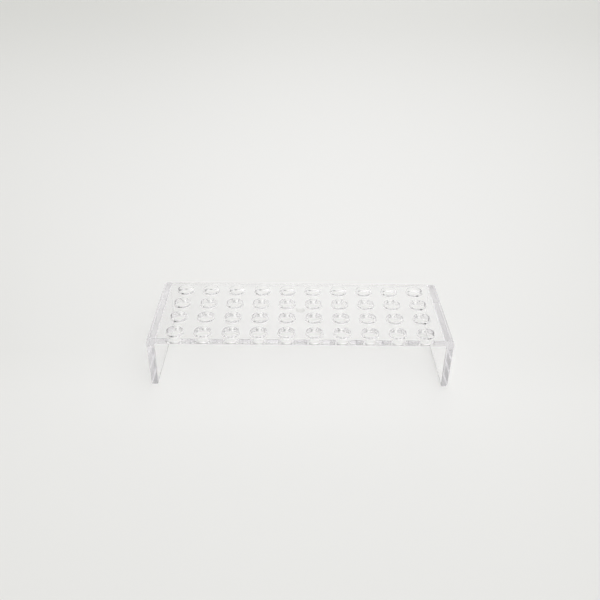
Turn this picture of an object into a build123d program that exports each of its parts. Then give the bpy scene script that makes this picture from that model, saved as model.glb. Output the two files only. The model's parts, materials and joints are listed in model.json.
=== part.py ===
from build123d import *

import os
from math import radians, tan

# Bench rack for 1.5 mL microcentrifuge tubes: one clear acrylic moulding, in millimetres.
# A flat deck stands on two end legs, like a low bridge, and is pierced by a grid of round
# wells. A tube drops in from above and hangs by the flange under its lid.
# Frame: +Z up, X along the rack, Y across it, origin on the bench under the rack's middle.

# Wells
columns = 10  # along X
rows = 4  # along Y
pitch = 19.0  # centre to centre, both ways
well_diameter = 11.4  # a 1.5 mL tube is 10.8 mm across under its flange
rim_break = 0.3  # chamfer round each well, on top of the deck
flare_height = 1.4  # at the bottom of each well, so that the core pins leave freely
flare_angle = 10.0  # degrees

# Plain deck left round the grid
edge_land = 4.3  # from the outer wells to the front and back edges
end_land = 7.0  # from the end wells to the inside of the legs

# Walls. The outer face of each leg leans inwards on its way down, so the leg thins like a rib
# and leaves the mould. Its inner face is plumb.
deck_thickness = 4.2
leg_thickness = 5.2  # at the root, under the deck
leg_draft = 1.3  # degrees
height = 37.8  # bench to the top of the deck

# Corners of the section and its outline
bend_radius = 3.0  # outside, where deck turns into leg
inner_radius = 0.8  # inside that bend
foot_radius = 0.7  # both edges of each foot
edge_break = 0.35  # outline of the front and back faces

# Dish left by the moulding gate, between the four wells in the middle of the deck
gate_diameter = 6.5
gate_depth = 0.25

deck_underside = height - deck_thickness
inner_x = (columns - 1) * pitch / 2 + well_diameter / 2 + end_land
lean = tan(radians(leg_draft))
outer_x_at_top = inner_x + leg_thickness + deck_thickness * lean
outer_x_at_foot = inner_x + leg_thickness - deck_underside * lean
depth = (rows - 1) * pitch + well_diameter + 2 * edge_land

with BuildPart() as rack:
    # Right half of the U-shaped section, then its mirror image
    with BuildSketch(Plane.XZ) as section:
        with BuildLine():
            Polyline(
                (0, height),
                (outer_x_at_top, height),
                (outer_x_at_foot, 0),
                (inner_x, 0),
                (inner_x, deck_underside),
                (0, deck_underside),
                close=True,
            )
        make_face()
        at_bench, at_underside, at_top = section.vertices().group_by(Axis.Y)
        fillet(at_top.sort_by(Axis.X)[-1], radius=bend_radius)
        fillet(at_underside.sort_by(Axis.X)[-1], radius=inner_radius)
        fillet(at_bench, radius=foot_radius)
        mirror(about=Plane.YZ)
    extrude(amount=depth / 2, both=True)

    # No edge of the front and back faces is sharp to the hand
    end_faces = rack.faces().filter_by(Axis.Y)
    chamfer(end_faces.edges(), length=edge_break)

    # Wells through the deck, straight and then flaring to the underside
    with Locations((0, 0, height)):
        with GridLocations(pitch, pitch, columns, rows):
            Hole(radius=well_diameter / 2, depth=deck_thickness)
    wells = rack.faces(Select.LAST).filter_by(GeomType.CYLINDER)
    chamfer(wells.edges().filter_by(GeomType.CIRCLE).group_by(Axis.Z)[-1], length=rim_break)
    with BuildSketch(Plane.XY.offset(deck_underside + flare_height)):
        with GridLocations(pitch, pitch, columns, rows):
            Circle(well_diameter / 2)
    extrude(amount=-flare_height, taper=-flare_angle, mode=Mode.SUBTRACT)

    # Gate mark
    with BuildSketch(Plane.XY.offset(height)):
        Circle(gate_diameter / 2)
    extrude(amount=-gate_depth, mode=Mode.SUBTRACT)

rack.part.label = "rack"

os.makedirs("parts", exist_ok=True)
export_step(rack.part, "parts/rack.step")
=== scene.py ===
import json
from math import cos, pi, radians, sin, tan

import bmesh
import bpy
from mathutils import Matrix, Vector


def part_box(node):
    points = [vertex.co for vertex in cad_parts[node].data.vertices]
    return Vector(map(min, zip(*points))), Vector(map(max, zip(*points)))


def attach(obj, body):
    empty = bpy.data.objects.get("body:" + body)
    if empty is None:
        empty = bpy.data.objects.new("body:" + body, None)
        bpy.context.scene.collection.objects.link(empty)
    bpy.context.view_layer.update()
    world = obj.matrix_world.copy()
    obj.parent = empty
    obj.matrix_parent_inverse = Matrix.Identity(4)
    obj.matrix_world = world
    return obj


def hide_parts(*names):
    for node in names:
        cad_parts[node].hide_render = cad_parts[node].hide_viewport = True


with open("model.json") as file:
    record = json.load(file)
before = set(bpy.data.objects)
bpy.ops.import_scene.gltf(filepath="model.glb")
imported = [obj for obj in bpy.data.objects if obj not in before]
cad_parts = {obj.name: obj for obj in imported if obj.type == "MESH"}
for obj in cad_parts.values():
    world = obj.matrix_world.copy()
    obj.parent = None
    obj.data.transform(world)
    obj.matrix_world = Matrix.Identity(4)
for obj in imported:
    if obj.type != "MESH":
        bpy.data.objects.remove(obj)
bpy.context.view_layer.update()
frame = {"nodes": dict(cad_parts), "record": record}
print("frame loaded:", sorted(frame["nodes"]))


class Wire:  # a shader socket that sums can be written with: wire * 2 + other
    def __init__(self, tree, socket=None):
        self.tree = tree
        self.socket = socket

    def node(self, kind, settings=None, sockets=None, output=0):
        made = self.tree.nodes.new(kind)
        for name, value in (settings or {}).items():
            setattr(made, name, value)
        for name, value in (sockets or {}).items():
            if isinstance(value, Wire):
                self.tree.links.new(value.socket, made.inputs[name])
            else:
                made.inputs[name].default_value = value
        return Wire(self.tree, made.outputs[output] if made.outputs else None)

    def outlet(self, index):  # another output of the same node
        return Wire(self.tree, self.socket.node.outputs[index])

    def sum(self, operation, first, second=0.0):
        return self.node("ShaderNodeMath", {"operation": operation}, {0: first, 1: second})

    def eased(self, low, high):  # 0 below low, 1 above high, a soft step between
        return self.node("ShaderNodeMapRange", {"interpolation_type": "SMOOTHSTEP"},
                         {"Value": self, "From Min": low, "From Max": high})

    def tinted(self, first, second):  # the first colour where this is 0, the second where it is 1
        return self.node("ShaderNodeMix", {"data_type": "RGBA"},
                         {"Factor": self, 6: first, 7: second}, output=2)

    def __add__(self, other):
        return self.sum("ADD", self, other)

    def __sub__(self, other):
        return self.sum("SUBTRACT", self, other)

    def __mul__(self, other):
        return self.sum("MULTIPLY", self, other)

    def __truediv__(self, other):
        return self.sum("DIVIDE", self, other)

    def __rsub__(self, other):
        return self.sum("SUBTRACT", other, self)

    __radd__ = __add__
    __rmul__ = __mul__


def freshMaterial(name):
    material = bpy.data.materials.new(name)
    material.use_nodes = True
    material.node_tree.nodes.clear()
    return material, Wire(material.node_tree)


def finishMaterial(wire, surface, **inside):
    wire.node("ShaderNodeOutputMaterial", None, {"Surface": surface, **inside})


closest = 1e-6  # metres: points nearer than this are one

rack = {
    "deckThickness": 0.0042,
    "endLand": 0.0070,
    "legThickness": 0.0052,
    "legDraft": radians(1.3),
    "bendRadius": 0.0030,
    "innerRadius": 0.0011,
    "footRadius": 0.0007,
    "edgeBreak": 0.00035,
    "rimBreak": 0.0003,
    "wellStraight": 0.0012,  # from the top of the deck to where the wall begins to widen
    "flareStart": radians(5),  # the wall's slope there
    "flareCurve": 8,  # how fast it grows, to about 8 degrees at the underside
    "flareSteps": 6,
    "gateRadius": 0.00325,
    "gateDepth": 0.00025,
    "gateMargin": 0.00015,  # flat left round the dish, inside the square cut for it
    "gateReach": 0.0094,  # half the width of deck searched for that square
    "gateSides": 48,
    "gateSteps": 10,
    "levelFace": 0.999,  # a face of the deck's top is one whose normal points up by more than this
    "wellSides": 80,  # a multiple of four
    "bendSteps": 24,
    "smallSteps": 8,
    "breakSteps": 4,
}


def vertsIn(made):
    return [g for g in made if isinstance(g, bmesh.types.BMVert)]


def pull(bm, edges, way):  # draws the edges out along a straight line
    made = bmesh.ops.extrude_edge_only(bm, edges=edges)["geom"]
    verts = vertsIn(made)
    bmesh.ops.translate(bm, vec=way, verts=verts)
    return [g for g in made if isinstance(g, bmesh.types.BMEdge)
            and all(v in verts for v in g.verts)]


def turn(bm, edges, centre, angle, steps):  # draws the edges round a bend about a line along Y
    made = bmesh.ops.spin(bm, geom=edges, cent=centre, axis=(0, 1, 0), angle=angle, steps=steps)
    return [g for g in made["geom_last"] if isinstance(g, bmesh.types.BMEdge)]


def openEdges(bm, test):
    return [e for e in bm.edges if len(e.link_faces) == 1 and all(test(v.co) for v in e.verts)]


def edgesOf(verts):
    return list(dict.fromkeys(e for v in verts for e in v.link_edges))


def roundOff(bm, edges, radius, steps):
    bmesh.ops.recalc_face_normals(bm, faces=bm.faces[:])
    bmesh.ops.bevel(bm, geom=edges, affect="EDGES", offset=radius, segments=steps, profile=0.5,
                    material=-1)


def bridgeFlat(bm, outer, ring):  # joins two loops in one plane: raises one, bridges, lays it flat
    lift = 0.001  # any small height does
    bmesh.ops.translate(bm, vec=(0, 0, lift), verts=ring)
    bmesh.ops.bridge_loops(bm, edges=outer + edgesOf(ring))
    bmesh.ops.translate(bm, vec=(0, 0, -lift), verts=ring)


def wellCell(bm, radius, halfPitch, top, size):  # one well in its square of deck
    sides = size["wellSides"]
    square = bmesh.ops.create_circle(bm, segments=4, radius=halfPitch * 2 ** 0.5,
                                     matrix=Matrix.Rotation(pi / 4, 4, "Z"))["verts"]
    bmesh.ops.subdivide_edges(bm, edges=edgesOf(square), cuts=sides // 4 - 1)
    outline = bm.edges[:]
    ring = bmesh.ops.create_circle(bm, segments=sides, radius=radius)["verts"]
    bridgeFlat(bm, outline, ring)
    bmesh.ops.translate(bm, vec=(0, 0, top), verts=bm.verts[:])
    under = bmesh.ops.duplicate(bm, geom=bm.verts[:] + bm.edges[:] + bm.faces[:])["geom"]
    bmesh.ops.translate(bm, vec=(0, 0, -size["deckThickness"]), verts=vertsIn(under))
    nearRing = (radius + halfPitch) / 2
    rims = openEdges(bm, lambda co: co.xy.length < nearRing)
    bmesh.ops.bridge_loops(bm, edges=rims)
    roundOff(bm, rims, size["rimBreak"], size["breakSteps"])
    flareWell(bm, nearRing, top, size)


def flareWell(bm, nearRing, top, size):  # bells the wall out, from its straight part downwards
    wallHeight = size["deckThickness"] - size["wellStraight"] - size["rimBreak"]
    for step in range(size["flareSteps"]):
        level = top - size["wellStraight"] - wallHeight * step / size["flareSteps"]
        bmesh.ops.bisect_plane(bm, geom=bm.verts[:] + bm.edges[:] + bm.faces[:],
                               dist=closest / 10, plane_co=(0, 0, level), plane_no=(0, 0, 1))
    for v in bm.verts:
        drop = top - size["wellStraight"] - v.co.z
        reach = v.co.xy.length
        if drop > 0 and reach < nearRing:
            outwards = drop * (tan(size["flareStart"]) + drop * size["flareCurve"])
            v.co.xy *= 1 + outwards / reach


def rackMesh(size, low, high, wells):
    bm = bmesh.new()
    radius = wells[0]["dims"]["r_mm"] / 1000
    places = sorted({(w["pos_m"][0], w["pos_m"][1]) for w in wells})
    acrossX = sorted({x for x, y in places})
    halfPitch = (acrossX[1] - acrossX[0]) / 2
    wellCell(bm, radius, halfPitch, high.z, size)
    cell = bm.verts[:] + bm.edges[:] + bm.faces[:]
    for x, y in places[1:]:
        copied = bmesh.ops.duplicate(bm, geom=cell)["geom"]
        bmesh.ops.translate(bm, vec=(x, y, 0), verts=vertsIn(copied))
    bmesh.ops.translate(bm, vec=(*places[0], 0), verts=vertsIn(cell))
    bmesh.ops.remove_doubles(bm, verts=bm.verts[:], dist=closest)
    print("wells:", len(places))

    # the strips left in front of and behind the grid
    gridY = max(y for x, y in places) + halfPitch
    gridX = acrossX[-1] + halfPitch
    for side, edgeY in ((-1, low.y), (1, high.y)):
        strip = openEdges(bm, lambda co: abs(co.y - side * gridY) < closest)
        pull(bm, strip, (0, edgeY - side * gridY, 0))

    # each leg, walked round its section from the top of the deck to the underside
    thick, bend = size["deckThickness"], size["bendRadius"]
    foot, inner = size["footRadius"], size["innerRadius"]
    lean = size["legDraft"]
    innerX = acrossX[-1] + radius + size["endLand"]
    outerX = innerX + size["legThickness"] + thick * tan(lean)  # the outer face, carried to the top
    bendReach = bend * tan((pi / 2 + lean) / 2)
    footReach = foot * tan((pi / 2 - lean) / 2)
    outerFootX = outerX - high.z * tan(lean)
    slope = Vector((sin(lean), 0, cos(lean)))
    faceTop = Vector((outerX, 0, high.z)) - slope * bendReach
    faceFoot = Vector((outerFootX, 0, 0)) + slope * footReach
    fall = faceFoot - faceTop
    for side in (-1, 1):
        edges = openEdges(bm, lambda co: (abs(co.x - side * gridX) < closest
                                          and abs(co.z - high.z) < closest))
        edges = pull(bm, edges, (side * (outerX - bendReach - gridX), 0, 0))
        edges = turn(bm, edges, (side * (outerX - bendReach), 0, high.z - bend),
                     side * (pi / 2 + lean), size["bendSteps"])
        edges = pull(bm, edges, (side * fall.x, 0, fall.z))
        edges = turn(bm, edges, (side * (outerFootX - footReach), 0, foot),
                     side * (pi / 2 - lean), size["smallSteps"])
        edges = pull(bm, edges, (side * (innerX + foot - outerFootX + footReach), 0, 0))
        edges = turn(bm, edges, (side * (innerX + foot), 0, foot), side * pi / 2,
                     size["smallSteps"])
        edges = pull(bm, edges, (0, 0, high.z - thick - inner - foot))
        edges = turn(bm, edges, (side * (innerX - inner), 0, high.z - thick - inner),
                     -side * pi / 2, size["smallSteps"])
        pull(bm, edges, (side * (gridX - innerX + inner), 0, 0))
    bmesh.ops.remove_doubles(bm, verts=bm.verts[:], dist=2 * closest)
    print("legs drawn")

    # front and back faces, and the round on their outlines
    for edgeY in (low.y, high.y):
        outline = openEdges(bm, lambda co: abs(co.y - edgeY) < closest)
        bmesh.ops.contextual_create(bm, geom=outline)
        roundOff(bm, outline, size["edgeBreak"], size["breakSteps"])
    return bm


def fromMiddle(co):
    return max(abs(co.x), abs(co.y))


def gateMark(bm, size, top):  # a shallow round dish between the four wells in the middle
    radius = size["gateRadius"]
    half = radius + size["gateMargin"]
    for way in ((1, 0, 0), (-1, 0, 0), (0, 1, 0), (0, -1, 0)):
        near = [f for f in bm.faces if f.normal.z > size["levelFace"]
                and fromMiddle(f.calc_center_median()) < size["gateReach"]]
        verts = list(dict.fromkeys(v for f in near for v in f.verts))
        bmesh.ops.bisect_plane(bm, geom=verts + edgesOf(verts) + near, dist=closest / 10,
                               plane_co=Vector(way) * half, plane_no=way)
    inside = [f for f in bm.faces if f.normal.z > size["levelFace"]
              and all(fromMiddle(v.co) < half + closest for v in f.verts)]
    bmesh.ops.delete(bm, geom=inside, context="FACES")
    gap = [e for e in bm.edges if len(e.link_faces) == 1]
    print("gate: faces cut away", len(inside), "edges round them", len(gap))
    ring = bmesh.ops.create_circle(bm, segments=size["gateSides"], radius=radius,
                                   matrix=Matrix.Translation((0, 0, top)))["verts"]
    edges = edgesOf(ring)
    bridgeFlat(bm, gap, ring)
    steps = size["gateSteps"]
    for step in range(1, steps):
        edges = pull(bm, edges, (0, 0, 0))
        inwards = 1 - step / steps
        level = top - size["gateDepth"] * (1 - inwards ** 3)
        for v in {v for e in edges for v in e.verts}:
            v.co = (*(v.co.xy.normalized() * radius * inwards), level)
    bmesh.ops.contextual_create(bm, geom=edges)


def shadeSmooth(piece):  # the rounds run into the flats with no crease, and each flat stays flat
    piece.data.shade_smooth()
    weighted = piece.modifiers.new("flatsLead", "WEIGHTED_NORMAL")
    weighted.mode = "FACE_AREA"
    weighted.weight = 100
    weighted.thresh = 1e-8  # square metres


acrylic = {
    "ior": 1.491,
    "absorbed": (0.28, 0.305, 0.258, 1),  # share lost, most of the green, so it turns faintly mauve
    "density": 6.2,  # times that share, for each metre of plastic
    # slow unevenness from the mould
    "swell": {"waves": 55, "detail": 1.0, "height": 0.00003},
    # faint rubbed streaks
    "scuffs": {"scale": 260, "detail": 3.0, "stretch": (0.12, 1, 1), "slant": 0.5,
               "range": (0.62, 0.9), "roughness": 0.05},
    # painted shade in the gate's dish: a grey tint, darker towards the near side, with places in
    # shares of the dish's radius
    "blush": {
        "colour": (0.28, 0.29, 0.22, 1),  # how much light the plastic lets by where the painted shade is darkest
        "outline": (0.92, 1.02),
        "heights": (0.036, 0.037),  # painted shade above these, which leaves the underside clear
        "even": 0.3,  # a faint even painted shade, gone towards the back
        "evenFade": (1.0, 0.0),
        "edge": 0.6,  # a darker painted shade along the near edge
        "edgeWidth": (0.6, 0.95),
        "edgeFade": (0.1, -0.8),
    },
}


# painted shade: tints the gate's dish darker towards the near side, most along its near edge
def gatePaintedShade(wire, place):
    blush = acrylic["blush"]
    x = wire.node("ShaderNodeSeparateXYZ", None, {0: place})
    y, z = x.outlet(1), x.outlet(2)
    out = wire.sum("SQRT", x * x + y * y) / rack["gateRadius"]
    back = y / rack["gateRadius"]
    inDish = (1 - out.eased(*blush["outline"])) * z.eased(*blush["heights"])
    edge = out.eased(*blush["edgeWidth"]) * back.eased(*blush["edgeFade"])
    paintedShade = inDish * (blush["even"] * back.eased(*blush["evenFade"]) + blush["edge"] * edge)
    return paintedShade.tinted((1, 1, 1, 1), blush["colour"])


def scuffMarks(wire, place):
    scuffs = acrylic["scuffs"]
    streaks = wire.node("ShaderNodeMapping", None, {
        "Vector": place, "Rotation": (0, 0, scuffs["slant"]), "Scale": scuffs["stretch"]})
    marks = wire.node("ShaderNodeTexNoise", None, {
        "Vector": streaks, "Scale": scuffs["scale"], "Detail": scuffs["detail"]})
    return marks.eased(*scuffs["range"]) * scuffs["roughness"]


def mouldSwell(wire, place):
    swell = acrylic["swell"]
    waves = wire.node("ShaderNodeTexNoise", None, {
        "Vector": place, "Scale": swell["waves"], "Detail": swell["detail"]})
    return wire.node("ShaderNodeBump", None, {"Height": waves, "Distance": swell["height"]})


def clearAcrylic():
    material, wire = freshMaterial("clearAcrylic")
    place = wire.node("ShaderNodeTexCoord", output=3)
    glass = wire.node("ShaderNodeBsdfPrincipled", None, {
        # the base colour carries the painted shade in the gate's dish
        "Base Color": gatePaintedShade(wire, place),
        "Roughness": scuffMarks(wire, place),
        "IOR": acrylic["ior"],
        "Transmission Weight": 1.0,
        "Normal": mouldSwell(wire, place),
    })
    kept = [1 - share for share in acrylic["absorbed"][:3]] + [1]
    haze = wire.node("ShaderNodeVolumeAbsorption", None, {
        "Color": kept, "Density": acrylic["density"]})
    finishMaterial(wire, glass, Volume=haze)
    return material


def buildRack():
    low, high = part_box("rack")
    wells = [m for m in frame["record"]["mounts"] if m["kind"] == "bore"]
    bm = rackMesh(rack, low, high, wells)
    gateMark(bm, rack, high.z)
    bmesh.ops.recalc_face_normals(bm, faces=bm.faces[:])
    loose = [e for e in bm.edges if len(e.link_faces) != 2]
    print("rack mesh:", len(bm.faces), "faces, open edges", len(loose))
    print("volume of plastic:", round(bm.calc_volume() * 1e6, 2), "cm3")
    mesh = bpy.data.meshes.new("rack_body")
    bm.to_mesh(mesh)
    bm.free()
    piece = bpy.data.objects.new("rack_body", mesh)
    bpy.context.scene.collection.objects.link(piece)
    shadeSmooth(piece)
    mesh.materials.append(clearAcrylic())
    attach(piece, "root")
    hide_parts("rack")


buildRack()


# painted light: the bench's colour is lightest in a pool round the rack and darkens to the sides,
# far behind and towards the viewer
bench = {
    "near": (0.857, 0.853, 0.853, 1),
    "far": (0.655, 0.655, 0.635, 1),
    "roughness": 0.55,
    "shine": 0.2,
    "size": 8.0,
    "gap": 0.00005,  # air under the feet
    "middle": 0.02,  # where along X the light is strongest
    "sideways": 1.3,  # how fast it fades to the sides
    "pool": (0.45, 0.9),  # how wide the light is at the rack, and the growth for each metre away
    "behind": (0.1, 1.7, 0.7),  # where behind the rack it starts and ends to fade, and by how much
    "inFront": (0.05, 0.45, 1.75),  # where towards the viewer it starts and ends, and how fast
}


def paleBench():
    material, wire = freshMaterial("paleBench")
    x = wire.node("ShaderNodeSeparateXYZ", None, {0: wire.node("ShaderNodeTexCoord", output=3)})
    y = x.outlet(1)
    width, widening = bench["pool"]
    side = (x - bench["middle"]) / (width + widening * wire.sum("ABSOLUTE", y))
    start, end, lost = bench["behind"]
    nearest, farthest, speed = bench["inFront"]
    ahead = wire.sum("MINIMUM", wire.sum("MAXIMUM", 0 - y - nearest, 0.0), farthest - nearest)
    fade = bench["sideways"] * side * side + lost * y.eased(start, end) + speed * ahead
    surface = wire.node("ShaderNodeBsdfPrincipled", None, {
        # painted light falloff in the base colour
        "Base Color": fade.tinted(bench["near"], bench["far"]),
        "Roughness": bench["roughness"],
        "Specular IOR Level": bench["shine"],
    })
    finishMaterial(wire, surface)
    return material


def buildBench():
    bm = bmesh.new()
    bmesh.ops.create_grid(bm, x_segments=1, y_segments=1, size=bench["size"] / 2,
                          matrix=Matrix.Translation((0, 0, -bench["gap"])))
    mesh = bpy.data.meshes.new("bench")
    bm.to_mesh(mesh)
    bm.free()
    floor = bpy.data.objects.new("bench", mesh)
    bpy.context.scene.collection.objects.link(floor)
    mesh.materials.append(paleBench())
    print("bench laid")


buildBench()

# the glow and the patches come from a separate fitting program, rounded, with one patch then set
# by eye, so that the light in the wells looks right: they don't describe a known room
room = {
    "level": (0.46, -2.05, 2.64),  # the walls' glow at the horizon, and how it changes higher up
    "horizon": (0.80, 0.80, 0.80, 1),  # pale surroundings just over the bench, on every side
    "horizonTop": (4, 14),  # degrees, where they give way to the room
    "ceilingTint": (1.0, 1.01, 0.975, 1),
    "wallTint": (1.01, 0.99, 1.01, 1),
    # direction from straight behind the rack round to its right end, height, half width and half
    # height of each soft patch in degrees, then its glow, which is below zero where it darkens
    "patches": {
        "boxRight": (46, 43, 64, 32, 0.90),
        "boxFront": (140, 30, 49, 43, 1.47),
        "boxFrontLeft": (225, 26, 66, 22, 1.20),
        "backdrop": (-2, 11, 30, 25, 1.91),
        "flagAtCamera": (180, 27, 46, 7, -1.07),
        "gapBehind": (-13, 11, 8, 16, -1.66),
        "gapRight": (55, 38, 84, 7, -0.97),
        "shelfEdge": (4, 25, 18, 5, -1.35),
    },
}


def buildRoom():
    world = bpy.data.worlds.new("room")
    bpy.context.scene.world = world
    world.use_nodes = True
    world.node_tree.nodes.clear()
    wire = Wire(world.node_tree)
    east = wire.node("ShaderNodeSeparateXYZ", None, {0: wire.node("ShaderNodeTexCoord")})
    north, up = east.outlet(1), east.outlet(2)
    azimuth = wire.sum("ARCTAN2", east, north) * (180 / pi)
    elevation = wire.sum("ARCSINE", up) * (180 / pi)
    level, rise, ceiling = room["level"]
    glow = level + up * (rise + ceiling * up)
    for facing, height, halfWidth, halfHeight, strength in room["patches"].values():
        across = wire.node("ShaderNodeMath", {"operation": "WRAP"},
                           {0: azimuth - facing, 1: 180.0, 2: -180.0}) / halfWidth
        along = (elevation - height) / halfHeight
        glow = glow + strength * wire.sum("EXPONENT", 0 - across * across - along * along)
    glow = wire.sum("MAXIMUM", glow, 0.0)
    tint = up.tinted(room["wallTint"], room["ceilingTint"])
    lit = wire.node("ShaderNodeVectorMath", {"operation": "SCALE"}, {0: tint, "Scale": glow})
    seen = elevation.eased(*room["horizonTop"]).tinted(room["horizon"], lit)
    background = wire.node("ShaderNodeBackground", None, {"Color": seen})
    wire.node("ShaderNodeOutputWorld", None, {"Surface": background})
    print("room lit with", len(room["patches"]), "soft patches")


buildRoom()

# from a separate camera fit
view = {
    "lens": 42.36,
    "elevation": radians(30.67),
    "azimuth": radians(-0.61),
    "roll": radians(0.86),
    "distance": 0.5167,
    "aim": (-0.0002, 0.0138),  # on the deck's top
}


def buildCamera():
    camera = bpy.data.objects.new("camera", bpy.data.cameras.new("camera"))
    bpy.context.scene.collection.objects.link(camera)
    camera.data.lens = view["lens"]
    camera.data.clip_start = 0.01
    level = cos(view["elevation"])
    away = Vector((sin(view["azimuth"]) * level,
                   -cos(view["azimuth"]) * level,
                   sin(view["elevation"])))
    aim = Vector((*view["aim"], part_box("rack")[1].z))
    turnTo = away.to_track_quat("Z", "Y").to_matrix().to_4x4()
    roll = Matrix.Rotation(view["roll"], 4, "Z")
    camera.matrix_world = Matrix.Translation(aim + away * view["distance"]) @ turnTo @ roll
    bpy.context.scene.camera = camera
    print("camera placed")


buildCamera()

scene = bpy.context.scene
scene.view_settings.view_transform = "Standard"
scene.cycles.blur_glossy = 0.0  # light through the clear walls stays sharp
scene.cycles.sample_clamp_indirect = 0.0
scene.cycles.max_bounces = 24
scene.cycles.diffuse_bounces = 12
scene.cycles.transmission_bounces = 24
scene.cycles.glossy_bounces = 16
